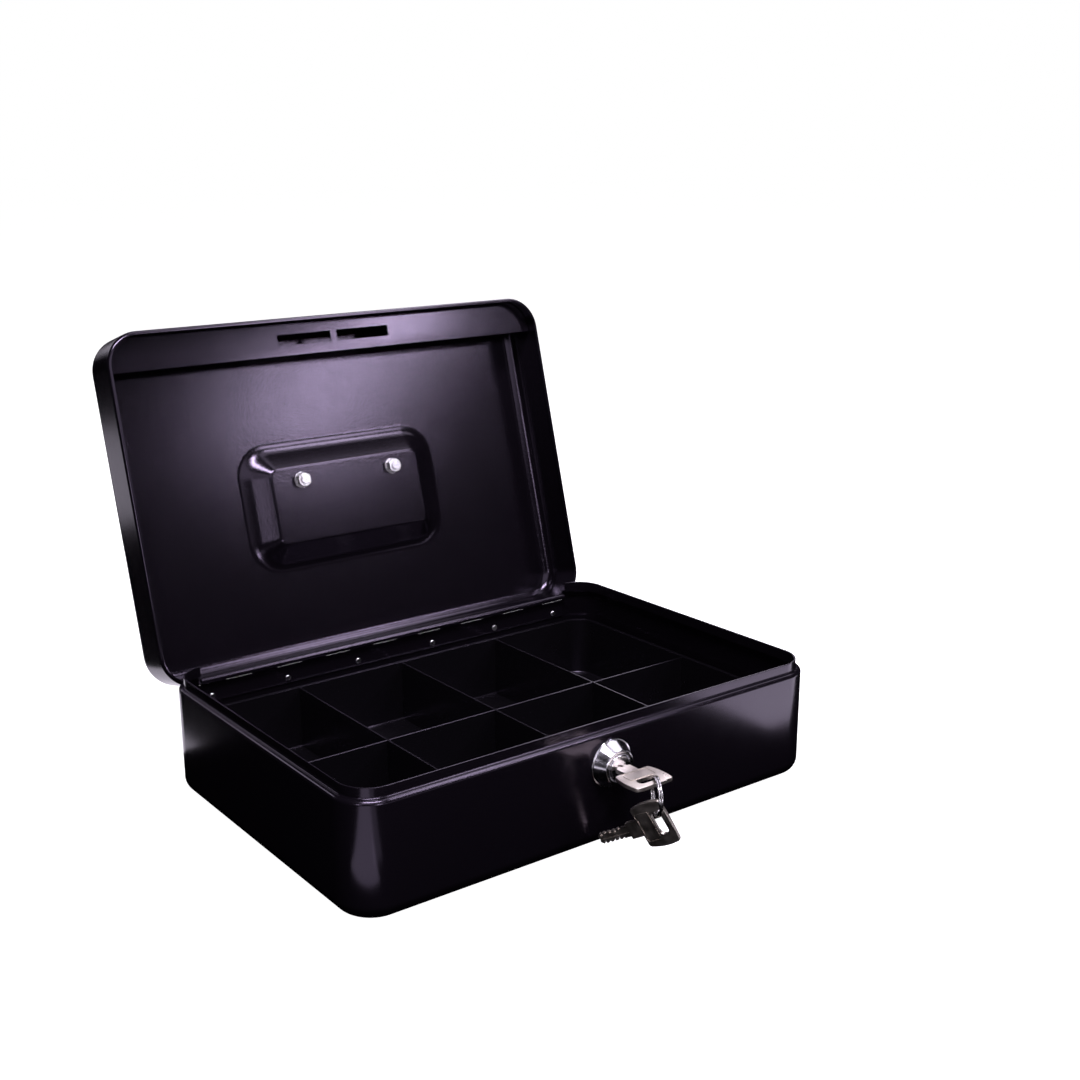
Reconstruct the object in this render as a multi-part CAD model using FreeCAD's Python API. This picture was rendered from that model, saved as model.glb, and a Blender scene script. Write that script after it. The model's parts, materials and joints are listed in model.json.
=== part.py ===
import FreeCAD, Part
import math
import os

os.makedirs("parts", exist_ok=True)

V = FreeCAD.Vector

# Overall box, closed (mm)
WIDTH = 300.0
DEPTH = 203.0
CORNER_R = 20.0
SHEET = 0.8
BASE_EDGE_R = 8.5
SHOULDER_Z = 61.6
SHOULDER_R = 2.2
NECK_INSET = 3.0
NECK_TOP = 67.0
NECK_FILLET = 0.7
LID_RIM_Z = 62.2
LID_CURL = 2.3
LID_TOP = 94.8
LID_EDGE_R = 8.2

# Hinge line along X
HINGE_Y = 98.85
HINGE_Z = 57.5
OPEN_DEG = 105.25
KNUCKLE_R = 1.8
KNUCKLE_BORE = 1.1
PIN_R = 1.05
LEAF_T = 0.7
LEAF_NOTCH = 3.05
LEAF_REACH = 13.5
KNUCKLES = 16
HINGE_HALF = 130.8
BACK_GAP_HALF = 131.2
LID_BACK_Z = 65.0
STUD_X = (-124.0, -75.5, -27.5, 26.5, 74.5, 122.5)
STUD_DROP = 10.5
STUD_R = 1.9
STUD_H = 0.8
STUD_BEVEL = 0.35

# Handle recess in the lid top
POCKET_MOUTH = (141.0, 81.0, 21.0)
POCKET_FLOOR = (103.0, 44.0, 7.0)
POCKET_Y = 9.5
POCKET_DEPTH = 10.0
POCKET_FLOOR_FILLET = 2.0

# Handle
POST_X = 32.5
POST_Y = -5.0
POST_R = 5.0
POST_TOP = 98.4
PIVOT_Z = 93.8
WIRE_R = 2.5
PIVOT_BORE = 2.55
BAIL_HALF = 49.5
BAIL_REACH = 30.7
BAIL_BEND = 8.0
POST_STUD_R = 2.5
NUT_AF = 8.0
NUT_H = 4.0
WASHER_R = 5.0
WASHER_T = 0.8

# Strike strip in the lid
STRIP_Z = 71.3
STRIP_T = 1.0
STRIP_BACK = -79.5
STRIP_FLANGE = 8.0
STRIP_CORNER_R = 17.0
SLOT_LEN = 36.2
SLOT_WIDE = 6.0
SLOT_BRIDGE = 5.0
SLOT_Y = -89.3

# Coin tray
TRAY_HALF_X = 144.5
TRAY_BACK = 96.6
TRAY_FRONT = -84.0
TRAY_TOP = 42.0
TRAY_FOOT = 1.2
TRAY_FLOOR = 4.1
TRAY_T = 1.0
TRAY_RIM = 2.0
TRAY_R = 14.0
TRAY_FOOT_R = 0.8
TRAY_FLOOR_R = 1.4
DIVIDER_T = 1.0
DIVIDER_Y = -3.0
DIVIDER_STEP = 71.0
DIVIDER_TOP = 41.6

# Lock, axis along Y
LOCK_Z = 44.2
COLLAR_R = 13.0
FACE_R = 9.0
COLLAR_H = 7.0
BARREL_R = 8.0
BARREL_BACK = -91.2
PLUG_R = 5.45
PLUG_BORE = 5.5
PLUG_HEAD_R = 6.4
PLUG_HEAD_T = 1.6
CLAW_Y = -90.05
CLAW_T = 1.5
CLAW_OUT = 37.0
CLAW_IN = 29.4
CLAW_SPREAD = 38.0
TAIL = 6.0
WAFERS = 5
WAFER_STEP = 2.8

# Keys
BOW_START = -117.0
BOW_LEN = 17.5
BOW_HALF_NEAR = 10.8
BOW_HALF_FAR = 11.6
BOW_T = 2.2
BLADE_W = 6.0
BLADE_T = 1.8
BLADE_TIP = -92.6
STEM_W = 9.0
STEM_END = -110.5
EYE_LEN = 13.0
EYE_WIDE = 5.4
EYE_STRIP = 2.8

# Split ring
RING_R = 9.4
RING_WIRE = 0.65
RING_STEP = 1.15
RING_TURN = 29.9
RING_CENTRE = V(0.55, -135.0, 38.03)

# Where the spare key hangs: eye centre, blade direction, width direction
SPARE_AT = V(2.26, -136.24, 24.52)
SPARE_BLADE = V(-0.363, 0.809, -0.462)
SPARE_WIDTH = V(0.346, -0.344, -0.873)


def rounded_wire(w, d, r, z, cy=0.0):
    """Rounded rectangle outline, centred on X = 0, Y = cy, at height z."""
    hx = w / 2.0
    hy = d / 2.0
    k = r * (1.0 - math.sqrt(0.5))
    corners = ((1, -1), (1, 1), (-1, 1), (-1, -1))
    ends = []
    for i, (sx, sy) in enumerate(corners):
        on_x = V(sx * hx, cy + sy * (hy - r), z)
        on_y = V(sx * (hx - r), cy + sy * hy, z)
        mid = V(sx * (hx - k), cy + sy * (hy - k), z)
        pair = (on_y, mid, on_x) if i % 2 == 0 else (on_x, mid, on_y)
        ends.append(pair)
    edges = []
    for i in range(4):
        start, mid, stop = ends[i]
        edges.append(Part.Arc(start, mid, stop).toShape())
        edges.append(Part.makeLine(stop, ends[(i + 1) % 4][0]))
    return Part.Wire(edges)


def rounded_prism(w, d, r, z0, z1, cy=0.0):
    face = Part.Face(rounded_wire(w, d, r, z0, cy))
    return face.extrude(V(0, 0, z1 - z0))


def edges_at(shape, z):
    """Edges lying wholly in the plane at height z."""
    found = []
    for edge in shape.Edges:
        box = edge.BoundBox
        if abs(box.ZMin - z) < 1e-4 and abs(box.ZMax - z) < 1e-4:
            found.append(edge)
    return found


def tub(w, d, r, z0, z1, low_r, high_r):
    """Rounded prism with its bottom and top edges rounded."""
    body = rounded_prism(w, d, r, z0, z1)
    body = body.makeFillet(low_r, edges_at(body, z0))
    return body.makeFillet(high_r, edges_at(body, z1))


def opened(shape):
    """Swing a piece drawn on the closed box to the lid's open rest pose."""
    moved = shape.copy()
    moved.rotate(V(0, HINGE_Y, HINGE_Z), V(1, 0, 0), -OPEN_DEG)
    return moved


def along_y(radius, y0, y1, x=0.0, z=LOCK_Z):
    return Part.makeCylinder(radius, y1 - y0, V(x, y0, z), V(0, 1, 0))


def along_x(radius, x0, x1, y=HINGE_Y, z=HINGE_Z):
    return Part.makeCylinder(radius, x1 - x0, V(x0, y, z), V(1, 0, 0))


def box(x0, x1, y0, y1, z0, z1):
    return Part.makeBox(x1 - x0, y1 - y0, z1 - z0, V(x0, y0, z0))


def hexagon(across_flats, height, at, direction):
    """Hexagonal prism standing on the point at, along direction."""
    points = []
    for i in range(7):
        a = math.radians(60 * i + 30)
        reach = across_flats / math.sqrt(3.0)
        points.append(V(reach * math.cos(a), reach * math.sin(a), 0))
    prism = Part.Face(Part.makePolygon(points)).extrude(V(0, 0, height))
    cone_r = across_flats / math.sqrt(3.0)
    top = Part.makeCone(cone_r + height - 0.6, cone_r - 0.6, height)
    prism = prism.common(top)
    turn = FreeCAD.Rotation(V(0, 0, 1), direction)
    prism.Placement = FreeCAD.Placement(at, turn)
    return prism


def base_shell():
    """Deep lower box: rounded bottom, shoulder and raised neck."""
    neck_w = WIDTH - 2 * NECK_INSET
    neck_d = DEPTH - 2 * NECK_INSET
    neck_r = CORNER_R - NECK_INSET
    outer = tub(WIDTH, DEPTH, CORNER_R, 0, SHOULDER_Z, BASE_EDGE_R, SHOULDER_R)
    neck = rounded_prism(neck_w, neck_d, neck_r, SHOULDER_Z - 5, NECK_TOP)
    outer = outer.fuse(neck).removeSplitter()
    root = [e for e in edges_at(outer, SHOULDER_Z) if e.BoundBox.XLength < neck_w + 0.1]
    root = [e for e in root if on_outline(e, neck_w, neck_d, neck_r)]
    outer = outer.makeFillet(NECK_FILLET, root)
    t = SHEET
    inner = tub(WIDTH - 2 * t, DEPTH - 2 * t, CORNER_R - t, t, SHOULDER_Z - t,
                BASE_EDGE_R - t, SHOULDER_R - t)
    throat = rounded_prism(neck_w - 2 * t, neck_d - 2 * t, neck_r - t,
                           SHOULDER_Z - 6, NECK_TOP + 1)
    shell = outer.cut(inner).cut(throat)
    g = BACK_GAP_HALF
    cut_z = HINGE_Z - LEAF_NOTCH
    shell = shell.cut(box(-g, g, DEPTH / 2 - 5, DEPTH / 2 + 1, cut_z, NECK_TOP + 1))
    return shell.cut(along_y(BARREL_R + 0.1, -DEPTH / 2 - 1, -DEPTH / 2 + 3))


def on_outline(edge, w, d, r):
    """True when the edge's middle lies on the given rounded rectangle."""
    p = edge.valueAt((edge.FirstParameter + edge.LastParameter) / 2.0)
    dx = abs(p.x) - (w / 2.0 - r)
    dy = abs(p.y) - (d / 2.0 - r)
    if dx > 0 and dy > 0:
        return abs(math.hypot(dx, dy) - r) < 0.05
    return abs(max(dx, dy) - r) < 0.05


def recess(drop, mouth_rise):
    """Tapered block of the handle recess, lowered by drop."""
    w0, d0, r0 = POCKET_MOUTH
    w1, d1, r1 = POCKET_FLOOR
    top = LID_TOP - drop
    low = top - POCKET_DEPTH
    body = Part.makeLoft([rounded_wire(w1, d1, r1, low, POCKET_Y),
                          rounded_wire(w0, d0, r0, top, POCKET_Y)], True, True)
    body = body.makeFillet(POCKET_FLOOR_FILLET, edges_at(body, low))
    if mouth_rise > 0:
        lip = rounded_prism(w0, d0, r0, top, top + mouth_rise, POCKET_Y)
        body = body.fuse(lip)
    return body


def lid_shell():
    """Lid pan with curled rim and sunken handle recess, drawn closed."""
    t = SHEET
    outer = tub(WIDTH, DEPTH, CORNER_R, LID_RIM_Z, LID_TOP, SHOULDER_R, LID_EDGE_R)
    inner = tub(WIDTH - 2 * t, DEPTH - 2 * t, CORNER_R - t, LID_RIM_Z + t, LID_TOP - t,
                SHOULDER_R - t, LID_EDGE_R - t)
    mouth = rounded_prism(WIDTH - 2 * LID_CURL, DEPTH - 2 * LID_CURL,
                          CORNER_R - LID_CURL, LID_RIM_Z - 1, LID_RIM_Z + 3)
    pan = outer.cut(inner).cut(mouth)
    pan = pan.fuse(recess(t, 0.0)).cut(recess(0.0, 2.0))
    g = BACK_GAP_HALF
    pan = pan.cut(box(-g, g, DEPTH / 2 - 5, DEPTH / 2 + 1, LID_RIM_Z - 1, LID_BACK_Z))
    for x in (-POST_X, POST_X):
        hole = Part.makeCylinder(POST_STUD_R + 0.05, 6, V(x, POST_Y, LID_TOP - POCKET_DEPTH - 3))
        pan = pan.cut(hole)
    return opened(pan)


def strike_strip():
    """Slotted plate across the front of the lid, with a weld flange."""
    t = SHEET
    w = WIDTH - 2 * t - 0.4
    d = DEPTH - 2 * t - 0.4
    z1 = STRIP_Z + STRIP_FLANGE
    block = rounded_prism(w, d, STRIP_CORNER_R + 2, STRIP_Z, z1)
    block = block.common(box(-w, w, -DEPTH, STRIP_BACK, STRIP_Z, z1))
    core = rounded_prism(w - 2 * STRIP_T, d - 2 * STRIP_T, STRIP_CORNER_R + 1,
                         STRIP_Z + STRIP_T, z1 + 1)
    plate = block.cut(core)
    for side in (-1, 1):
        mid = side * (SLOT_BRIDGE + SLOT_LEN) / 2.0
        slot = box(mid - SLOT_LEN / 2, mid + SLOT_LEN / 2, SLOT_Y - SLOT_WIDE / 2,
                   SLOT_Y + SLOT_WIDE / 2, STRIP_Z - 1, STRIP_Z + 2)
        plate = plate.cut(slot)
    return opened(plate)


def hinge_leaf(up, first):
    """Leaf with alternate knuckles; up is +1 for the lid leaf, -1 for the base leaf."""
    pitch = 2 * HINGE_HALF / KNUCKLES
    y1 = HINGE_Y + KNUCKLE_R
    y0 = y1 - LEAF_T
    near = HINGE_Z + up * LEAF_NOTCH
    far = HINGE_Z + up * LEAF_REACH
    leaf = box(-HINGE_HALF, HINGE_HALF, y0, y1, min(near, far), max(near, far))
    for i in range(first, KNUCKLES, 2):
        x0 = -HINGE_HALF + i * pitch + 0.15
        x1 = x0 + pitch - 0.3
        web = box(x0, x1, y0, y1, min(HINGE_Z, near), max(HINGE_Z, near))
        leaf = leaf.fuse(along_x(KNUCKLE_R, x0, x1)).fuse(web)
    leaf = leaf.cut(along_x(KNUCKLE_BORE, -HINGE_HALF - 1, HINGE_HALF + 1))
    return leaf.removeSplitter()


def hinge_pin():
    pin = along_x(PIN_R, -HINGE_HALF + 0.2, HINGE_HALF - 0.2)
    return pin.makeChamfer(0.25, [e for e in pin.Edges if e.Closed])


def leaf_studs(up):
    """Low rivet heads, bevelled round the edge, holding a hinge leaf to its wall."""
    face_y = HINGE_Y + KNUCKLE_R - LEAF_T
    z = HINGE_Z + up * STUD_DROP
    inward = V(0, -1, 0)
    heads = []
    for x in STUD_X:
        disc = Part.makeCylinder(STUD_R, STUD_H - STUD_BEVEL, V(x, face_y, z), inward)
        crown_at = V(x, face_y - STUD_H + STUD_BEVEL, z)
        crown = Part.makeCone(STUD_R, STUD_R - 1.5 * STUD_BEVEL, STUD_BEVEL, crown_at, inward)
        heads.append(disc.fuse(crown))
    return Part.makeCompound(heads)


def handle_post(x):
    """Round post with a blind cross bore for the bail and a threaded stud."""
    floor_z = LID_TOP - POCKET_DEPTH
    side = 1 if x > 0 else -1
    post = Part.makeCylinder(POST_R, POST_TOP - floor_z, V(x, POST_Y, floor_z))
    post = post.makeChamfer(0.5, edges_at(post, POST_TOP))
    post = post.fuse(Part.makeCylinder(POST_STUD_R, 7.0, V(x, POST_Y, floor_z - 7.0)))
    inner = x - side * 2.6
    outer = x + side * 8.0
    bore = along_x(PIVOT_BORE, min(inner, outer), max(inner, outer), POST_Y, PIVOT_Z)
    return opened(post.cut(bore))


def handle_washers():
    under = LID_TOP - SHEET - POCKET_DEPTH
    rings = []
    for x in (-POST_X, POST_X):
        disc = Part.makeCylinder(WASHER_R, WASHER_T, V(x, POST_Y, under - WASHER_T))
        hole = Part.makeCylinder(POST_STUD_R + 0.1, 3, V(x, POST_Y, under - 2))
        rings.append(disc.cut(hole))
    return opened(Part.makeCompound(rings))


def handle_nuts():
    under = LID_TOP - SHEET - POCKET_DEPTH - WASHER_T
    nuts = []
    for x in (-POST_X, POST_X):
        nut = hexagon(NUT_AF, NUT_H, V(x, POST_Y, under), V(0, 0, -1))
        nuts.append(nut.cut(Part.makeCylinder(POST_STUD_R + 0.02, 8, V(x, POST_Y, under - 6))))
    return opened(Part.makeCompound(nuts))


def bail():
    """Bent wire handle, hanging plumb from its posts on the open lid."""
    reach = BAIL_REACH
    r = BAIL_BEND
    k = r * (1.0 - math.sqrt(0.5))
    h = BAIL_HALF
    end = POST_X - 2.1
    y = POST_Y
    z = PIVOT_Z
    a = V(-end, y, z)
    b = V(-h + r, y, z)
    c = V(-h, y, z + r)
    d = V(-h, y, z + reach - r)
    e = V(-h + r, y, z + reach)
    path = [Part.makeLine(a, b),
            Part.Arc(b, V(-h + k, y, z + k), c).toShape(),
            Part.makeLine(c, d),
            Part.Arc(d, V(-h + k, y, z + reach - k), e).toShape(),
            Part.makeLine(e, V(h - r, y, z + reach)),
            Part.Arc(V(h - r, y, z + reach), V(h - k, y, z + reach - k),
                     V(h, y, z + reach - r)).toShape(),
            Part.makeLine(V(h, y, z + reach - r), V(h, y, z + r)),
            Part.Arc(V(h, y, z + r), V(h - k, y, z + k), V(h - r, y, z)).toShape(),
            Part.makeLine(V(h - r, y, z), V(end, y, z))]
    profile = Part.Wire(Part.makeCircle(WIRE_R, a, V(1, 0, 0)))
    wire = Part.Wire(path).makePipeShell([profile], True, False)
    hang = 180.0 - OPEN_DEG
    wire.rotate(V(0, y, z), V(1, 0, 0), -hang)
    return opened(wire)


def tray_shell():
    """Open tray with a narrow rim; its floor is raised inside a foot that stands on the base."""
    w = 2 * (TRAY_HALF_X - TRAY_RIM)
    d = TRAY_BACK - TRAY_FRONT - 2 * TRAY_RIM
    cy = (TRAY_BACK + TRAY_FRONT) / 2.0
    r = TRAY_R - TRAY_RIM
    body = rounded_prism(w, d, r, TRAY_FOOT, TRAY_TOP, cy)
    body = body.makeFillet(TRAY_FOOT_R, edges_at(body, TRAY_FOOT))
    rim = rounded_prism(w + 2 * TRAY_RIM, d + 2 * TRAY_RIM, TRAY_R, TRAY_TOP - 1.2, TRAY_TOP, cy)
    rim = rim.makeFillet(0.5, edges_at(rim, TRAY_TOP))
    t = TRAY_T
    hollow = rounded_prism(w - 2 * t, d - 2 * t, r - t, TRAY_FLOOR + t, TRAY_TOP + 1, cy)
    hollow = hollow.makeFillet(TRAY_FLOOR_R, edges_at(hollow, TRAY_FLOOR + t))
    under = rounded_prism(w - 4 * t, d - 4 * t, r - 2 * t, TRAY_FOOT - 1, TRAY_FLOOR, cy)
    return body.fuse(rim).cut(hollow).cut(under)


def tray_inside():
    """Room inside the tray, held back so the dividers only just touch."""
    w = 2 * (TRAY_HALF_X - TRAY_RIM - TRAY_T) - 0.1
    d = TRAY_BACK - TRAY_FRONT - 2 * (TRAY_RIM + TRAY_T) - 0.1
    cy = (TRAY_BACK + TRAY_FRONT) / 2.0
    low = TRAY_FLOOR + TRAY_T + 0.05
    room = rounded_prism(w, d, TRAY_R - TRAY_RIM - TRAY_T, low, DIVIDER_TOP, cy)
    return room.makeFillet(TRAY_FLOOR_R, edges_at(room, low))


def divider_long():
    """Long divider, notched from above where the short ones cross."""
    h = DIVIDER_T / 2.0
    plate = box(-150, 150, DIVIDER_Y - h, DIVIDER_Y + h, 0, DIVIDER_TOP)
    plate = plate.common(tray_inside())
    middle = (TRAY_FLOOR + DIVIDER_TOP) / 2.0
    for i in (-1, 0, 1):
        x = i * DIVIDER_STEP
        plate = plate.cut(box(x - h - 0.05, x + h + 0.05, DIVIDER_Y - 2, DIVIDER_Y + 2,
                              middle, DIVIDER_TOP + 1))
    return plate


def divider_cross(i):
    """Short divider, notched from below where it crosses the long one."""
    h = DIVIDER_T / 2.0
    x = i * DIVIDER_STEP
    plate = box(x - h, x + h, -100, 100, 0, DIVIDER_TOP).common(tray_inside())
    middle = (TRAY_FLOOR + DIVIDER_TOP) / 2.0
    return plate.cut(box(x - 2, x + 2, DIVIDER_Y - h - 0.05, DIVIDER_Y + h + 0.05, 0, middle))


def lock_housing():
    """Conical collar outside the front wall and round barrel through it."""
    front = -DEPTH / 2.0
    face_y = front - COLLAR_H
    cone = Part.makeCone(FACE_R, COLLAR_R, COLLAR_H, V(0, face_y, LOCK_Z), V(0, 1, 0))
    cone = cone.makeFillet(0.6, [e for e in cone.Edges if e.Closed and e.BoundBox.YMax < face_y + 0.1])
    body = cone.fuse(along_y(BARREL_R, front, BARREL_BACK))
    groove = along_y(FACE_R - 1.2, face_y - 1, face_y + 0.5)
    groove = groove.cut(along_y(PLUG_HEAD_R + 0.5, face_y - 2, face_y + 2))
    body = body.cut(groove)
    body = body.cut(along_y(PLUG_BORE, face_y - 1, BARREL_BACK + 1))
    return body.cut(along_y(PLUG_HEAD_R + 0.1, face_y - 1, face_y + PLUG_HEAD_T))


def lock_nut():
    """Thin hexagonal nut clamping the barrel behind the front wall."""
    inside = -DEPTH / 2.0 + SHEET
    nut = hexagon(21.0, 3.0, V(0, inside, LOCK_Z), V(0, 1, 0))
    return nut.cut(along_y(BARREL_R + 0.03, inside - 1, inside + 5))


def key_slot_y(i):
    return -106.0 + i * WAFER_STEP


def lock_plug():
    """Turning plug with a keyway, wafer slots and a square tail."""
    face_y = -DEPTH / 2.0 - COLLAR_H - 0.5
    head = along_y(PLUG_HEAD_R, face_y, face_y + PLUG_HEAD_T + 0.3)
    head = head.makeFillet(0.5, [e for e in head.Edges if e.Closed and e.BoundBox.YMax < face_y + 0.1])
    plug = head.fuse(along_y(PLUG_R, face_y, CLAW_Y))
    h = TAIL / 2.0
    plug = plug.fuse(box(-h, h, CLAW_Y, CLAW_Y + CLAW_T, LOCK_Z - h, LOCK_Z + h))
    w = BLADE_W / 2.0 + 0.3
    t = BLADE_T / 2.0 + 0.25
    plug = plug.cut(box(-w, w, face_y - 1, BLADE_TIP + 0.6, LOCK_Z - t, LOCK_Z + t))
    for i in range(WAFERS):
        y = key_slot_y(i)
        plug = plug.cut(box(-4.6, 4.6, y - 0.5, y + 0.5, LOCK_Z - 2.3, LOCK_Z + 2.3))
    return plug.cut(along_y(1.25, CLAW_Y - 1.5, CLAW_Y + CLAW_T + 1))


def lock_wafers():
    """Thin windowed plates that slide in the plug round the key blade."""
    plates = []
    w = BLADE_W / 2.0 + 0.4
    t = BLADE_T / 2.0 + 0.35
    for i in range(WAFERS):
        y = key_slot_y(i)
        plate = box(-4.3, 4.3, y - 0.35, y + 0.35, LOCK_Z - 2.1, LOCK_Z + 2.1)
        plates.append(plate.cut(box(-w, w, y - 1, y + 1, LOCK_Z - t, LOCK_Z + t)))
    return Part.makeCompound(plates)


def latch_claw():
    """Arm and curved claw carried by the plug, pointing down when unlocked."""
    y = CLAW_Y
    hub = Part.makeCylinder(7.5, CLAW_T, V(0, y, LOCK_Z), V(0, 1, 0))
    ring = along_y(CLAW_OUT, y, y + CLAW_T).cut(along_y(CLAW_IN, y - 1, y + CLAW_T + 1))
    reach = 60.0
    a = math.radians(-90 - CLAW_SPREAD)
    b = math.radians(-90 + CLAW_SPREAD)
    tip_a = V(reach * math.cos(a), y - 1, LOCK_Z + reach * math.sin(a))
    tip_b = V(reach * math.cos(b), y - 1, LOCK_Z + reach * math.sin(b))
    low = V(0, y - 1, LOCK_Z - 2 * reach)
    centre = V(0, y - 1, LOCK_Z)
    wedge = Part.Face(Part.makePolygon([centre, tip_a, low, tip_b, centre]))
    wedge = wedge.extrude(V(0, CLAW_T + 2, 0))
    sector = ring.common(wedge)
    arm = box(0, CLAW_IN + 2, y, y + CLAW_T, LOCK_Z - 4.5, LOCK_Z + 4.5)
    arm.rotate(V(0, y, LOCK_Z), V(0, 1, 0), 90 - CLAW_SPREAD + 8)
    claw = hub.fuse(arm).fuse(sector).removeSplitter()
    h = TAIL / 2.0 + 0.05
    return claw.cut(box(-h, h, y - 1, y + 3, LOCK_Z - h, LOCK_Z + h))


def claw_screw():
    y = CLAW_Y + CLAW_T
    head = along_y(4.6, y, y + 1.6)
    head = head.makeFillet(0.6, [e for e in head.Edges if e.Closed and e.BoundBox.YMin > y + 1.5])
    screw = head.fuse(along_y(1.2, y - 2.6, y))
    for turn in (0, 90):
        bar = box(-2.4, 2.4, y + 0.7, y + 2.0, LOCK_Z - 0.45, LOCK_Z + 0.45)
        bar.rotate(V(0, y, LOCK_Z), V(0, 1, 0), turn)
        screw = screw.cut(bar)
    return screw


def key_body():
    """Flat key lying level: barrel-sided bow with an eye, stem and cut blade."""
    y0 = BOW_START
    y1 = BOW_START - BOW_LEN
    z0 = LOCK_Z - BOW_T / 2.0
    a = BOW_HALF_NEAR
    b = BOW_HALF_FAR
    mid = (y0 + y1) / 2.0
    bulge = b + 0.9
    edges = [Part.makeLine(V(-a, y0, z0), V(a, y0, z0)),
             Part.Arc(V(a, y0, z0), V(bulge, mid, z0), V(b, y1, z0)).toShape(),
             Part.Arc(V(b, y1, z0), V(0, y1 - 0.5, z0), V(-b, y1, z0)).toShape(),
             Part.Arc(V(-b, y1, z0), V(-bulge, mid, z0), V(-a, y0, z0)).toShape()]
    bow = Part.Face(Part.Wire(edges)).extrude(V(0, 0, BOW_T))
    uprights = [e for e in bow.Edges if e.BoundBox.ZLength > BOW_T - 0.01]
    bow = bow.makeFillet(1.6, uprights)
    flat = [e for e in bow.Edges if e.BoundBox.ZLength < 0.01]
    bow = bow.makeFillet(0.4, flat)
    eye_y = y1 + EYE_STRIP
    eye = rounded_prism(EYE_LEN, EYE_WIDE, 2.6, z0 - 1, z0 + BOW_T + 1, eye_y + EYE_WIDE / 2)
    bow = bow.cut(eye)
    for side in (-1, 1):
        z = LOCK_Z + side * (BOW_T / 2.0)
        panel = rounded_prism(15.0, 7.0, 1.0, z - 0.25, z + 0.25, y0 - 5.0)
        frame = rounded_prism(16.6, 8.6, 1.6, z - 0.25, z + 0.25, y0 - 5.0)
        bow = bow.cut(frame.cut(panel))
    h = STEM_W / 2.0
    t = BLADE_T / 2.0
    stem = box(-h, h, y0 - 1, STEM_END, LOCK_Z - BOW_T / 2, LOCK_Z + BOW_T / 2)
    w = BLADE_W / 2.0
    blade = box(-w, w, STEM_END - 1, BLADE_TIP, LOCK_Z - t, LOCK_Z + t)
    for i in range(WAFERS):
        y = key_slot_y(i)
        depth = 0.6 + 0.45 * ((i * 2) % 3)
        for side in (-1, 1):
            x0 = min(side * w, side * (w - depth))
            blade = blade.cut(box(x0, x0 + depth, y - 0.7, y + 0.7, LOCK_Z - 3, LOCK_Z + 3))
    for side in (-1, 1):
        z = LOCK_Z + side * t
        blade = blade.cut(box(-0.7, 0.7, STEM_END, BLADE_TIP + 1, z - 0.45, z + 0.45))
    nose = [e for e in blade.Edges if abs(e.BoundBox.YMin - BLADE_TIP) < 0.01
            and e.BoundBox.ZLength > 0.5 and e.BoundBox.XLength < 0.01 and abs(e.BoundBox.XMin) > 2]
    blade = blade.makeChamfer(1.3, nose)
    return bow.fuse(stem).fuse(blade).removeSplitter()


def key_in_lock():
    return key_body()


def spare_key():
    """Second key, hung on the ring and lying back against the front wall."""
    key = key_body()
    eye = V(0, BOW_START - BOW_LEN + EYE_STRIP + EYE_WIDE / 2.0, LOCK_Z)
    u = FreeCAD.Vector(SPARE_BLADE)
    u.normalize()
    w = u.cross(FreeCAD.Vector(SPARE_WIDTH))
    w.normalize()
    v = w.cross(u)
    turn = FreeCAD.Matrix(v.x, u.x, -w.x, 0, v.y, u.y, -w.y, 0, v.z, u.z, -w.z, 0, 0, 0, 0, 1)
    key.translate(-eye)
    key = key.transformGeometry(turn)
    key.translate(SPARE_AT)
    return key


def split_ring():
    """Two touching turns of round wire hanging through the key's eye."""
    a = math.radians(RING_TURN)
    normal = V(math.cos(a), -math.sin(a), 0)
    turns = []
    for side in (-0.5, 0.5):
        centre = RING_CENTRE + normal * (side * RING_STEP)
        turns.append(Part.makeTorus(RING_R, RING_WIRE, centre, normal))
    return turns[0].fuse(turns[1])


def write(name, shape):
    shape.exportStep("parts/" + name + ".step")


write("base_shell", base_shell())
write("lid_shell", lid_shell())
write("strike_strip", strike_strip())
write("hinge_leaf_base", hinge_leaf(-1, 0))
write("hinge_leaf_lid", opened(hinge_leaf(1, 1)))
write("hinge_pin", hinge_pin())
write("hinge_studs_base", leaf_studs(-1))
write("hinge_studs_lid", opened(leaf_studs(1)))
write("handle_post_left", handle_post(-POST_X))
write("handle_post_right", handle_post(POST_X))
write("handle_washers", handle_washers())
write("handle_nuts", handle_nuts())
write("handle_bail", bail())
write("tray_shell", tray_shell())
write("divider_long", divider_long())
for index, label in ((-1, "left"), (0, "middle"), (1, "right")):
    write("divider_cross_" + label, divider_cross(index))
write("lock_housing", lock_housing())
write("lock_nut", lock_nut())
write("lock_plug", lock_plug())
write("lock_wafers", lock_wafers())
write("latch_claw", latch_claw())
write("claw_screw", claw_screw())
write("key_in_lock", key_in_lock())
write("split_ring", split_ring())
write("spare_key", spare_key())
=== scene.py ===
import json
import math

import bmesh
import bpy
from mathutils import Matrix, Vector


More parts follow.
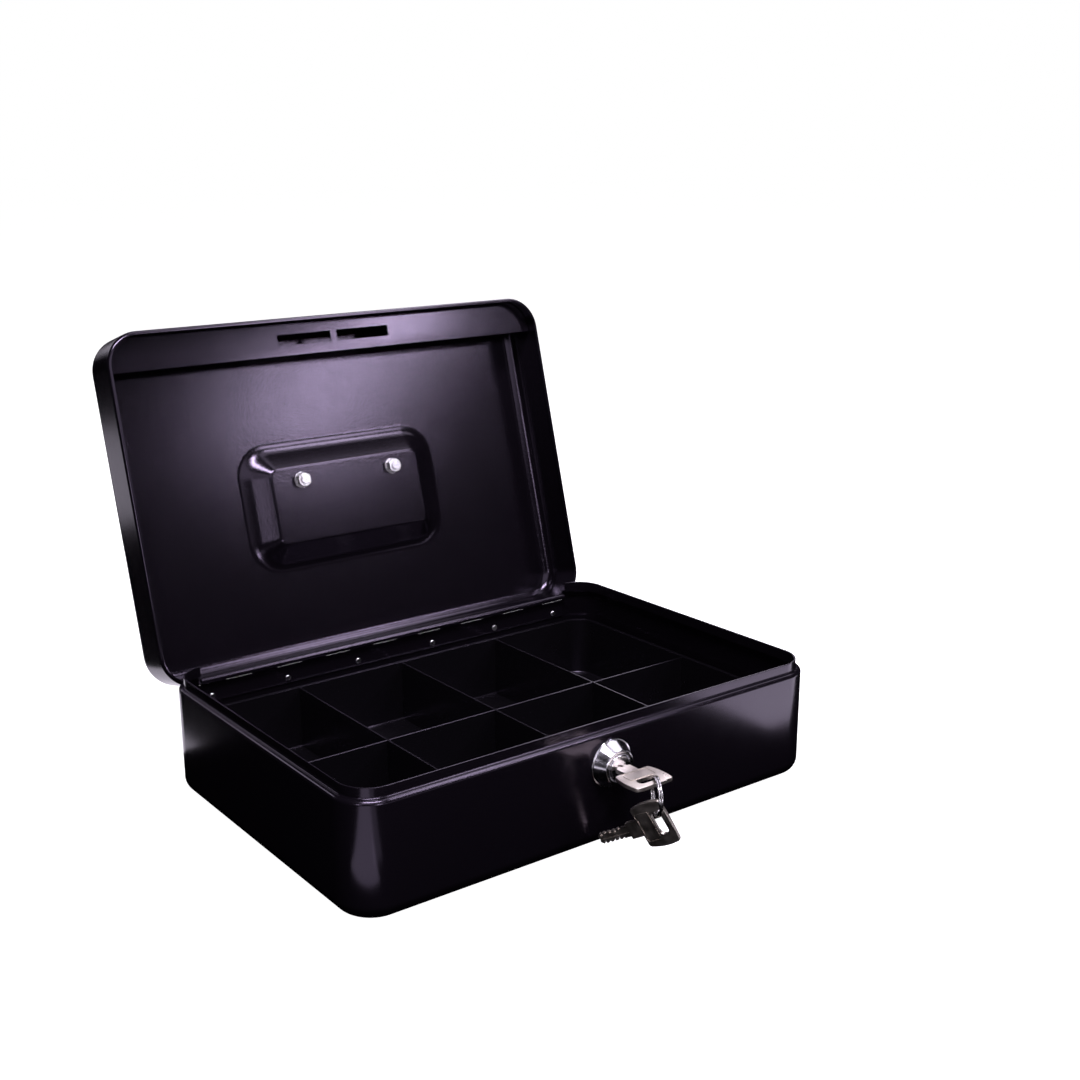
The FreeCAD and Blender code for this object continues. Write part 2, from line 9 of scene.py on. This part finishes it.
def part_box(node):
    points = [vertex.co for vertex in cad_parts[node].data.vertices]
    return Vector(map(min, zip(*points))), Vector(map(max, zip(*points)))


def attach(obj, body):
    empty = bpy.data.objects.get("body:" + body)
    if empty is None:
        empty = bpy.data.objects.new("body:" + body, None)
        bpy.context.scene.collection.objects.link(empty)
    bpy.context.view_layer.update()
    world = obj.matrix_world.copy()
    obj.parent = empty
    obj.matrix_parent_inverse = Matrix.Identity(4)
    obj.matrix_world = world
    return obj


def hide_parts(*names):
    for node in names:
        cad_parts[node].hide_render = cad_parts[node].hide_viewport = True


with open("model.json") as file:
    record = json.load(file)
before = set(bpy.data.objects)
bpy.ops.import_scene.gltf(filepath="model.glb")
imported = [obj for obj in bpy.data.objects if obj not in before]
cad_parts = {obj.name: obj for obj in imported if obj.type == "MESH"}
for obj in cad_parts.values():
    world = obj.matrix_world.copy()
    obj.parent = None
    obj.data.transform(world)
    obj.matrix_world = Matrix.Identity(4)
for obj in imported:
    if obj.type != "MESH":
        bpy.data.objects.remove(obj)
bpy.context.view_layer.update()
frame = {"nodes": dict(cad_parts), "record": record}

# ---------------------------------------------------------------- sizes, in millimetres
MM = 0.001
RECORD = frame["record"]
JOINTS = {joint["name"]: joint for joint in RECORD["behaviour"]["joints"]}


def corners(node):
    """Lowest and highest corner of a CAD node, to a hundredth."""
    return [[round(c / MM, 2) for c in corner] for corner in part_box(node)]


def pivot(joint):
    """A point on a joint's axis."""
    return Vector([c / MM for c in JOINTS[joint]["pos_m"]])


# The box, its lid and the lid's sunken well
_, (HALF_X, HALF_Y, NECK_TOP) = corners("base_shell")
SHEET = 0.8
CORNER_R = 20.0
BASE_EDGE_R = 8.5
SHOULDER_Z = 61.6
SHOULDER_R = 2.2
NECK_INSET = 3.0
NECK_ROOT_R = 0.7
LIP = ((0.0, 0.25), (0.05, 0.08), (0.2, 0.0))
RIM_Z = 62.2
RIM_R = 2.2
LID_TOP = 94.8
LID_EDGE_R = 8.2
WELL_Y = 9.5
WELL_DEPTH = 10.0
WELL_FLOOR = (51.5, 22.0, 4.0)
WELL_MOUTH = (70.5, 40.5, 21.0)
FLOOR_BLEND = 0.1
MOUTH_BLEND = 0.45

# The gap in both back walls, in which the hinge lies, and how far a cutter runs past what it cuts
GAP_HALF = 131.2
GAP_BASE_Z = 54.45
GAP_LID_Z = 65.0
GAP_FRONT_Y = 96.5
PAST = 3.0

# The lid's hinge and how far the lid stands open at rest
HINGE = pivot("lid_hinge")
OPEN = math.radians(JOINTS["lid_hinge"]["range_deg"][0])

# Tray
(_, TRAY_FRONT, TRAY_FOOT), (TRAY_HALF_X, TRAY_BACK, TRAY_TOP) = corners("tray_shell")
TRAY_T = 1.0
TRAY_FLOOR_Z = 4.1
TRAY_RIM = 2.0
TRAY_RIM_T = 1.2
TRAY_RIM_R = 0.5
TRAY_LIP = ((0.0, 0.25), (0.1, 0.05), (0.25, 0.0))
TRAY_CORNER_R = 14.0
TRAY_FLOOR_R = 1.4
TRAY_FOOT_R = 0.8

# Lock collar: (radius, how far it stands ahead of the front wall)
LOCK_Z = pivot("lock_turn").z
BARREL_HOLE_R = 8.1
COLLAR_BARREL = ((5.55, -10.2), (7.9, -10.2), (7.95, -0.1))
COLLAR_FOOT = ((12.8, 0.02), (13.05, 0.2), (13.05, 0.7), (12.85, 0.95), (12.35, 1.05), (12.1, 1.25))
COLLAR_LIP = ((9.35, 6.2), (9.2, 6.7), (8.95, 6.95), (8.6, 7.05), (7.75, 7.05), (7.5, 6.95), (7.35, 6.6))
COLLAR_FACE = ((7.15, 6.6), (7.0, 6.85), (6.75, 6.95), (5.8, 6.95), (5.55, 6.7))

# Split ring and handle
RING_R = 9.4
RING_WIRE_R = 0.62
RING_STEP = 1.22
RING_START_DEG = 200
RING_CROSS = (0.46, 0.54)
BAIL_WIRE_R = 2.5
BAIL_HALF = 49.5
BAIL_BEND = 8.0
BAIL_REACH = 30.7
BAIL_END_X = 30.4

# How wide the broken edges are on the pieces that are otherwise as designed
EDGE_BREAKS = {
    "strike_strip": 0.4, "hinge_leaf_base": 0.12, "hinge_leaf_lid": 0.12,
    "divider_long": 0.28, "divider_cross_left": 0.28, "divider_cross_middle": 0.28,
    "divider_cross_right": 0.28, "handle_nuts": 0.3, "handle_washers": 0.15,
    "handle_post_left": 0.2, "handle_post_right": 0.2, "hinge_studs_base": 0.2,
    "hinge_studs_lid": 0.2, "key_in_lock": 0.25, "spare_key": 0.3,
    "lock_plug": 0.12, "latch_claw": 0.2, "lock_nut": 0.25,
}


# ---------------------------------------------------------------- materials
class Mat:
    """A node material on the Principled shader, with short calls for adding and linking nodes."""

    def __init__(self, name, **sockets):
        self.mat = bpy.data.materials.new(name)
        self.mat.use_nodes = True
        self.tree = self.mat.node_tree
        self.bsdf = self.tree.nodes["Principled BSDF"]
        for key, value in sockets.items():
            self.bsdf.inputs[key.replace("_", " ")].default_value = value

    def node(self, kind, **inputs):
        made = self.tree.nodes.new(kind)
        for key, value in inputs.items():
            made.inputs[key.replace("_", " ")].default_value = value
        return made

    def noise(self, scale, detail=2.0, rough=0.5):
        where = self.node("ShaderNodeTexCoord").outputs["Object"]
        tex = self.node("ShaderNodeTexNoise", Scale=scale, Detail=detail, Roughness=rough)
        self.tree.links.new(where, tex.inputs["Vector"])
        return tex.outputs["Fac"]

    def roughness(self, fac, low, high):
        """Let the noise move the surface's roughness between low and high."""
        spread = self.node("ShaderNodeMapRange", From_Min=0.3, From_Max=0.7, To_Min=low, To_Max=high)
        self.tree.links.new(fac, spread.inputs["Value"])
        self.tree.links.new(spread.outputs["Result"], self.bsdf.inputs["Roughness"])

    def bump(self, fac, strength, distance):
        """Let the noise raise the surface."""
        made = self.node("ShaderNodeBump", Strength=strength, Distance=distance)
        self.tree.links.new(fac, made.inputs["Height"])
        self.tree.links.new(made.outputs["Normal"], self.bsdf.inputs["Normal"])


def paint(name, base, rough, peel):
    """Gloss paint with a fine orange peel and a slightly uneven gloss."""
    m = Mat(name, Base_Color=(*base, 1.0), Specular_Tint=(0.86, 0.74, 1.0, 1.0))
    m.roughness(m.noise(70.0, 4.0, 0.6), rough - 0.01, rough + 0.015)
    m.bump(m.noise(900.0, 3.0, 0.6), peel, 0.00012)
    return m.mat


def metal(name, base, rough):
    """Bare or plated metal with fine scratches and an uneven polish."""
    m = Mat(name, Base_Color=(*base, 1.0), Metallic=1.0)
    m.roughness(m.noise(160.0, 4.0, 0.6), rough * 0.75, rough * 1.4)
    m.bump(m.noise(700.0, 3.0, 0.6), 0.05, 0.00005)
    return m.mat


MATS = {
    "black_paint": paint("black_paint", (0.0035, 0.0027, 0.0042), 0.17, 0.10),
    "black_paint_inside": paint("black_paint_inside", (0.003, 0.0023, 0.0036), 0.15, 0.5),
    "black_tray": paint("black_tray", (0.0028, 0.0025, 0.0032), 0.26, 0.12),
    "chrome": metal("chrome", (0.68, 0.67, 0.71), 0.17),
    "zinc": metal("zinc", (0.6, 0.59, 0.6), 0.24),
    "steel": metal("steel", (0.62, 0.61, 0.62), 0.18),
    "nickel": metal("nickel", (0.66, 0.61, 0.55), 0.34),
    "brass": metal("brass", (0.75, 0.56, 0.27), 0.25),
}
SLOT = {row["node"]: row["material_slot"] for row in RECORD["subparts"]}
BODY = {node: body for body, nodes in RECORD["behaviour"]["bodies"].items() for node in nodes}
for name, slot in SLOT.items():
    surface = frame["nodes"][name].data.materials
    surface.clear()
    surface.append(MATS[slot])


# ---------------------------------------------------------------- shapes, in millimetres
def opened(point):
    """A point of the closed lid, carried to where the open lid has it."""
    return HINGE + Matrix.Rotation(OPEN, 3, "X") @ (Vector(point) - HINGE)


def rrect(half_x, half_y, r, z, cy=0.0, n=14):
    """Level loop: a rectangle with round corners."""
    loop = []
    for sx, sy, start in ((1, -1, -90), (1, 1, 0), (-1, 1, 90), (-1, -1, 180)):
        for k in range(n + 1):
            a = math.radians(start + 90.0 * k / n)
            loop.append((sx * (half_x - r) + r * math.cos(a), cy + sy * (half_y - r) + r * math.sin(a), z))
    return loop


def bend(centre, radius, start, stop, n):
    """Points (inset, z) along an arc; 0 degrees points to larger inset, 90 degrees up."""
    made = []
    for k in range(n + 1):
        a = math.radians(start + (stop - start) * k / n)
        made.append((centre[0] + radius * math.cos(a), centre[1] + radius * math.sin(a)))
    return made


def walls(half_x, half_y, r, profile, cy=0.0):
    """One rounded-rectangle loop for each (inset, z) of the profile."""
    return [rrect(half_x - i, half_y - i, max(r - i, 0.4), z, cy) for i, z in profile]


def circle(radius, y):
    """Upright loop round the lock's axis."""
    turn = [2 * math.pi * k / 72 for k in range(72)]
    return [(radius * math.cos(a), y, LOCK_Z + radius * math.sin(a)) for a in turn]


def solid(name, bm):
    """Turn the mesh under construction into an object."""
    bmesh.ops.recalc_face_normals(bm, faces=bm.faces)
    mesh = bpy.data.meshes.new(name)
    bm.to_mesh(mesh)
    bm.free()
    obj = bpy.data.objects.new(name, mesh)
    bpy.context.scene.collection.objects.link(obj)
    return obj


def skin(name, loops, closed=False):
    """Surface through loops of equal length: its ends are capped, or joined to each other."""
    bm = bmesh.new()
    rows = [[bm.verts.new([c * MM for c in p]) for p in loop] for loop in loops]
    pairs = list(zip(rows, rows[1:]))
    if closed:
        pairs.append((rows[-1], rows[0]))
    n = len(rows[0])
    for low, high in pairs:
        for i in range(n):
            bm.faces.new((low[i], low[(i + 1) % n], high[(i + 1) % n], high[i]))
    if not closed:
        bm.faces.new(rows[0])
        bm.faces.new(rows[-1])
    return solid(name, bm)


def block(name, x, y, z):
    """Box between the two values given for each direction."""
    outline = ((x[0], y[0]), (x[1], y[0]), (x[1], y[1]), (x[0], y[1]))
    return skin(name, [[(px, py, level) for px, py in outline] for level in z])


def tube(name, path, radius, sides):
    """Round wire along a path of points."""
    points = [Vector(p) for p in path]
    turn = [2 * math.pi * k / sides for k in range(sides)]
    last = len(points) - 1
    side = (points[1] - points[0]).orthogonal()
    loops = []
    for i, p in enumerate(points):
        ahead = (points[min(i + 1, last)] - points[max(i - 1, 0)]).normalized()
        side = (side - ahead * side.dot(ahead)).normalized()
        other = ahead.cross(side)
        loops.append([p + (side * math.cos(a) + other * math.sin(a)) * radius for a in turn])
    return skin(name, loops)


def carve(obj, cutter):
    """Take the cutter's volume out of obj, for good."""
    mod = obj.modifiers.new("cut", "BOOLEAN")
    mod.object = cutter
    mod.solver = "EXACT"
    graph = bpy.context.evaluated_depsgraph_get()
    mesh = bpy.data.meshes.new_from_object(obj.evaluated_get(graph))
    obj.modifiers.remove(mod)
    obj.data = mesh
    bpy.data.objects.remove(cutter)


def carve_gap(pan, z):
    """Cut the hinge's gap, between two heights, out of the back wall."""
    carve(pan, block("cutter", (-GAP_HALF, GAP_HALF), (GAP_FRONT_Y, HALF_Y + PAST), z))


def softened(node, width):
    """The designed piece again, with its sharp edges broken."""
    source = frame["nodes"][node]
    bm = bmesh.new()
    bm.from_mesh(source.data)
    bm.transform(source.matrix_world)
    bmesh.ops.remove_doubles(bm, verts=bm.verts, dist=3e-6)
    bmesh.ops.dissolve_limit(bm, angle_limit=math.radians(0.5), verts=bm.verts, edges=bm.edges)
    least = math.radians(25.0)
    sharp = [e for e in bm.edges if len(e.link_faces) == 2 and e.calc_face_angle(0.0) > least]
    bmesh.ops.bevel(bm, geom=sharp, offset=width * MM, offset_type="OFFSET", segments=2,
                    profile=0.5, affect="EDGES", clamp_overlap=True)
    return solid(node + "_soft", bm)


def place(obj, *nodes):
    """Finish a piece: smooth it, paint it, let it ride and stand for its nodes."""
    obj.data.shade_smooth()
    obj.data.set_sharp_from_angle(angle=math.radians(32.0))
    obj.modifiers.new("normals", "WEIGHTED_NORMAL").keep_sharp = True
    obj.data.materials.clear()
    obj.data.materials.append(MATS[SLOT[nodes[0]]])
    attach(obj, BODY[nodes[0]])
    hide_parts(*nodes)


def line_inside(obj, centre):
    """Give the faces that look towards a point in the middle the paint with the coarser orange peel."""
    obj.data.materials.append(MATS["black_paint_inside"])
    for face in obj.data.polygons:
        if face.normal.dot(face.center - Vector(centre) * MM) < 0:
            face.material_index = 1


# ---------------------------------------------------------------- base, lid and tray
def base_pan():
    """Drawn lower box: round bottom edge, round shoulder and the raised neck."""
    edge = (BASE_EDGE_R, BASE_EDGE_R)
    shoulder = (SHOULDER_R, SHOULDER_Z - SHOULDER_R)
    profile = bend(edge, BASE_EDGE_R, -90, -180, 12)
    profile += bend(shoulder, SHOULDER_R, 180, 90, 8)
    profile += bend((NECK_INSET - NECK_ROOT_R, SHOULDER_Z + NECK_ROOT_R), NECK_ROOT_R, -90, 0, 5)
    profile += [(NECK_INSET + i, NECK_TOP - d) for i, d in LIP]
    profile += [(NECK_INSET + SHEET - i, NECK_TOP - d) for i, d in reversed(LIP)]
    profile += [(NECK_INSET + SHEET, SHOULDER_Z - SHEET)]
    profile += bend(shoulder, SHOULDER_R - SHEET, 90, 180, 6)
    profile += bend(edge, BASE_EDGE_R - SHEET, 180, 270, 10)
    pan = skin("base_pan", walls(HALF_X, HALF_Y, CORNER_R, profile))
    carve_gap(pan, (GAP_BASE_Z, NECK_TOP + PAST))
    carve(pan, skin("cutter", [circle(BARREL_HOLE_R, y) for y in (-HALF_Y - PAST, PAST - HALF_Y)]))
    place(pan, "base_shell")
    line_inside(pan, (0.0, 0.0, 60.0))


def well_loops(drop):
    """Loops of the lid's sunken well, from its floor to its mouth, lowered by drop."""
    wall = 1.0 - FLOOR_BLEND - MOUTH_BLEND
    steps = [FLOOR_BLEND * k / 4 for k in range(4)]
    steps += [FLOOR_BLEND + wall * k / 3 for k in range(3)]
    steps += [1.0 - MOUTH_BLEND * (1 - k / 9) for k in range(10)]
    steep = 1.0 / (1.0 - FLOOR_BLEND / 2 - MOUTH_BLEND / 2)
    loops = []
    for u in steps:
        if u <= FLOOR_BLEND:
            rise = steep * u * u / (2 * FLOOR_BLEND)
        elif u <= 1.0 - MOUTH_BLEND:
            rise = steep * (u - FLOOR_BLEND / 2)
        else:
            rise = 1.0 - steep * (1.0 - u) ** 2 / (2 * MOUTH_BLEND)
        half_x, half_y, r = (low + (high - low) * u for low, high in zip(WELL_FLOOR, WELL_MOUTH))
        loops.append(rrect(half_x, half_y, r, LID_TOP - WELL_DEPTH * (1.0 - rise) - drop, WELL_Y))
    return loops


def lid_pan():
    """Lid with its sunken well and rolled rim, made shut and then turned open."""
    edge = (LID_EDGE_R, LID_TOP - LID_EDGE_R)
    rim = (RIM_R, RIM_Z + RIM_R)
    profile = bend(edge, LID_EDGE_R, 90, 180, 12)
    profile += bend(rim, RIM_R, 180, 270, 8)
    profile += [(RIM_R + 0.1, RIM_Z + 0.05), (RIM_R + 0.1, RIM_Z + 0.75)]
    profile += bend(rim, RIM_R - SHEET, 270, 180, 6)
    profile += bend(edge, LID_EDGE_R - SHEET, 180, 90, 10)
    outside = well_loops(0.0) + walls(HALF_X, HALF_Y, CORNER_R, profile)
    pan = skin("lid_pan", outside + well_loops(SHEET)[::-1])
    carve_gap(pan, (RIM_Z - PAST, GAP_LID_Z))
    for vert in pan.data.vertices:
        vert.co = opened(vert.co / MM) * MM
    pan.data.update()
    place(pan, "lid_shell")
    line_inside(pan, opened((0.0, WELL_Y, 30.0)))


def tray_pan():
    """Tray with a rolled-over rim and a floor raised inside its foot."""
    inner = TRAY_RIM + TRAY_T
    floor_top = TRAY_FLOOR_Z + TRAY_T
    profile = bend((inner + TRAY_FLOOR_R, floor_top + TRAY_FLOOR_R), TRAY_FLOOR_R, 270, 180, 6)
    profile += [(inner - i, TRAY_TOP - d) for i, d in TRAY_LIP]
    profile += bend((TRAY_RIM_R, TRAY_TOP - TRAY_RIM_R), TRAY_RIM_R, 90, 180, 5)
    profile += [(0.0, TRAY_TOP - TRAY_RIM_T), (TRAY_RIM, TRAY_TOP - TRAY_RIM_T)]
    profile += bend((TRAY_RIM + TRAY_FOOT_R, TRAY_FOOT + TRAY_FOOT_R), TRAY_FOOT_R, 180, 270, 5)
    profile += [(inner + TRAY_T, TRAY_FOOT), (inner + TRAY_T, TRAY_FLOOR_Z)]
    half_y = (TRAY_BACK - TRAY_FRONT) / 2
    loops = walls(TRAY_HALF_X, half_y, TRAY_CORNER_R, profile, TRAY_FRONT + half_y)
    place(skin("tray_pan", loops), "tray_shell")


# ---------------------------------------------------------------- lock, ring and handle
def lock_collar():
    """Turned collar: barrel through the wall, foot, cone, lip and the stepped face inside it."""
    profile = COLLAR_BARREL + COLLAR_FOOT + COLLAR_LIP + COLLAR_FACE
    loops = [circle(r, -HALF_Y - ahead) for r, ahead in profile]
    place(skin("lock_collar", loops, True), "lock_housing")


def wire_ring():
    """Two turns of wire that step from one to the other over a short stretch."""
    across = Vector(JOINTS["ring_slip"]["axis"])
    up_way = Vector((0, 0, 1))
    ahead = up_way.cross(across)
    centre = pivot("ring_slip")
    start, stop = RING_CROSS
    path = []
    steps = 180
    for k in range(steps + 1):
        a = 4 * math.pi * k / steps + math.radians(RING_START_DEG)
        s = min(max((k / steps - start) / (stop - start), 0.0), 1.0)
        off = (s * s * (3 - 2 * s) - 0.5) * RING_STEP
        path.append(centre + (ahead * math.cos(a) + up_way * math.sin(a)) * RING_R + across * off)
    place(tube("wire_ring", path, RING_WIRE_R, 14), "split_ring")


def handle_wire():
    """Bent wire that hangs plumb from the two posts."""
    half = [(-BAIL_END_X, 0.0), (BAIL_BEND - BAIL_HALF, 0.0)]
    for depth, start in ((BAIL_BEND, 270), (BAIL_REACH - BAIL_BEND, 180)):
        for k in range(13):
            a = math.radians(start - 90.0 * k / 12)
            half.append((BAIL_BEND * (1 + math.cos(a)) - BAIL_HALF, depth + BAIL_BEND * math.sin(a)))
    whole = half + [(-x, depth) for x, depth in reversed(half)]
    path = [pivot("handle_swing") + Vector((x, 0.0, -depth)) for x, depth in whole]
    place(tube("handle_wire", path, BAIL_WIRE_R, 28), "handle_bail")


base_pan()
lid_pan()
tray_pan()
lock_collar()
wire_ring()
handle_wire()
for node, width in EDGE_BREAKS.items():
    place(softened(node, width), node)


# ---------------------------------------------------------------- floor and world
FLOOR_REACH = 12000.0
floor = block("floor", (-FLOOR_REACH, FLOOR_REACH), (-FLOOR_REACH, FLOOR_REACH), (-40.0, -0.4))
pale = Mat("floor_white", Base_Color=(0.5, 0.5, 0.5, 1.0), Roughness=0.9,
           Emission_Color=(1.0, 1.0, 1.0, 1.0), Emission_Strength=1.0)
pale.bump(pale.noise(350.0), 0.05, 0.0001)
floor.data.materials.append(pale.mat)
floor.visible_glossy = False
floor.visible_diffuse = False

world = bpy.data.worlds.new("studio")
world.use_nodes = True
world.node_tree.nodes["Background"].inputs["Color"].default_value = (1.0, 1.0, 1.0, 1.0)
world.node_tree.nodes["Background"].inputs["Strength"].default_value = 1.0
bpy.context.scene.world = world
world.cycles_visibility.diffuse = False
world.cycles_visibility.glossy = False


# ---------------------------------------------------------------- lights, in metres
def toward(azimuth, elevation):
    """Direction from the box: azimuth 0 is in front of the lock and 90 on its right."""
    a, e = math.radians(azimuth), math.radians(elevation)
    return Vector((math.sin(a) * math.cos(e), -math.cos(a) * math.cos(e), math.sin(e)))


def lamp(name, where, facing, size, radiance, spin=0.0):
    """Rectangular soft light that shines along facing."""
    data = bpy.data.lights.new(name, "AREA")
    data.shape = "RECTANGLE"
    data.size, data.size_y = size
    data.energy = radiance * math.pi * size[0] * size[1]
    data.color = (0.93, 0.87, 1.0)
    made = bpy.data.objects.new(name, data)
    turn = (-facing).to_track_quat("Z", "Y").to_matrix() @ Matrix.Rotation(math.radians(spin), 3, "Z")
    made.matrix_world = Matrix.Translation(where) @ turn.to_4x4()
    made.visible_camera = False
    bpy.context.scene.collection.objects.link(made)


def softbox(name, azimuth, elevation, distance, size, radiance):
    """Light standing off in a direction from the middle of the open box."""
    away = toward(azimuth, elevation)
    lamp(name, Vector((0.0, 0.05, 0.12)) + away * distance, -away, size, radiance)


def low_card(name, x, y, size, radiance, spin=0.0):
    """Light lying on the floor and shining up: the bright table top that upright faces mirror."""
    lamp(name, Vector((x, y, 0.003)), Vector((0, 0, 1)), size, radiance, spin)


# Small patches that the lid's panel, the strip and the lid's lower edge mirror
softbox("lid_glow", 31.5, 21, 1.6, (0.17, 0.12), 26)
softbox("strip_glow", 38, 24.5, 1.6, (0.14, 0.05), 58)
softbox("hinge_band", 38, 42, 1.6, (0.4, 0.4), 10)
# From all round, for the rounded edges, the corners and the bright metal
softbox("high_right", 60, 57, 1.5, (0.3, 0.25), 12)
softbox("overhead", 116, 58, 1.5, (0.3, 0.3), 10)
softbox("crown", -26, 63, 1.5, (0.8, 0.26), 45)
softbox("left_low", -58, 11, 1.5, (0.2, 0.25), 9)
softbox("front_low", -11, -1, 1.3, (0.3, 0.14), 14)
softbox("left_back", -148, 26, 1.6, (0.5, 0.3), 2.5)
softbox("behind", 134, 25, 1.7, (0.7, 0.35), 4.5)
softbox("back_soft", 178, 18, 1.8, (1.4, 0.5), 1.2)
# Broad and weak, for the flat faces of the keys
softbox("key_top", 110, 62, 1.3, (1.2, 1.2), 1.7)
softbox("key_front", -25, 32, 1.4, (1.5, 0.6), 1.2)
# Bright parts of the table, which the upright faces and the near corner mirror
low_card("front_card", 0.33, -0.195, (0.32, 0.085), 3.0)
low_card("corner_card", -0.225, -0.185, (0.07, 0.18), 1.2, 38)
low_card("corner_side", -0.178, -0.205, (0.03, 0.12), 0.5, 30)
low_card("left_card", -0.45, 0.93, (0.3, 0.5), 1.0)
low_card("table_back", 0.12, 0.36, (0.6, 0.45), 1.3)
low_card("table_front", 0.1, -0.58, (1.2, 0.5), 0.9)

# ---------------------------------------------------------------- camera, in metres
TARGET = Vector((0.181657, 0.292718, 0.038584))
DISTANCE = 1.134136
ROLL = math.radians(-1.023)
back = toward(-34.584, 15.470)
level = (-back).cross(Vector((0, 0, 1))).normalized()
upright = level.cross(-back)
right = level * math.cos(ROLL) + upright * math.sin(ROLL)
up = upright * math.cos(ROLL) - level * math.sin(ROLL)
lens = bpy.data.cameras.new("camera")
lens.sensor_width = 36.0
lens.lens = 47.604
lens.shift_x = 0.0741
lens.shift_y = 0.0093
lens.clip_start = 0.05
camera = bpy.data.objects.new("camera", lens)
camera.matrix_world = Matrix((right, up, back)).transposed().to_4x4()
camera.location = TARGET + back * DISTANCE
bpy.context.scene.collection.objects.link(camera)
bpy.context.scene.camera = camera
bpy.context.scene.view_settings.view_transform = "Standard"
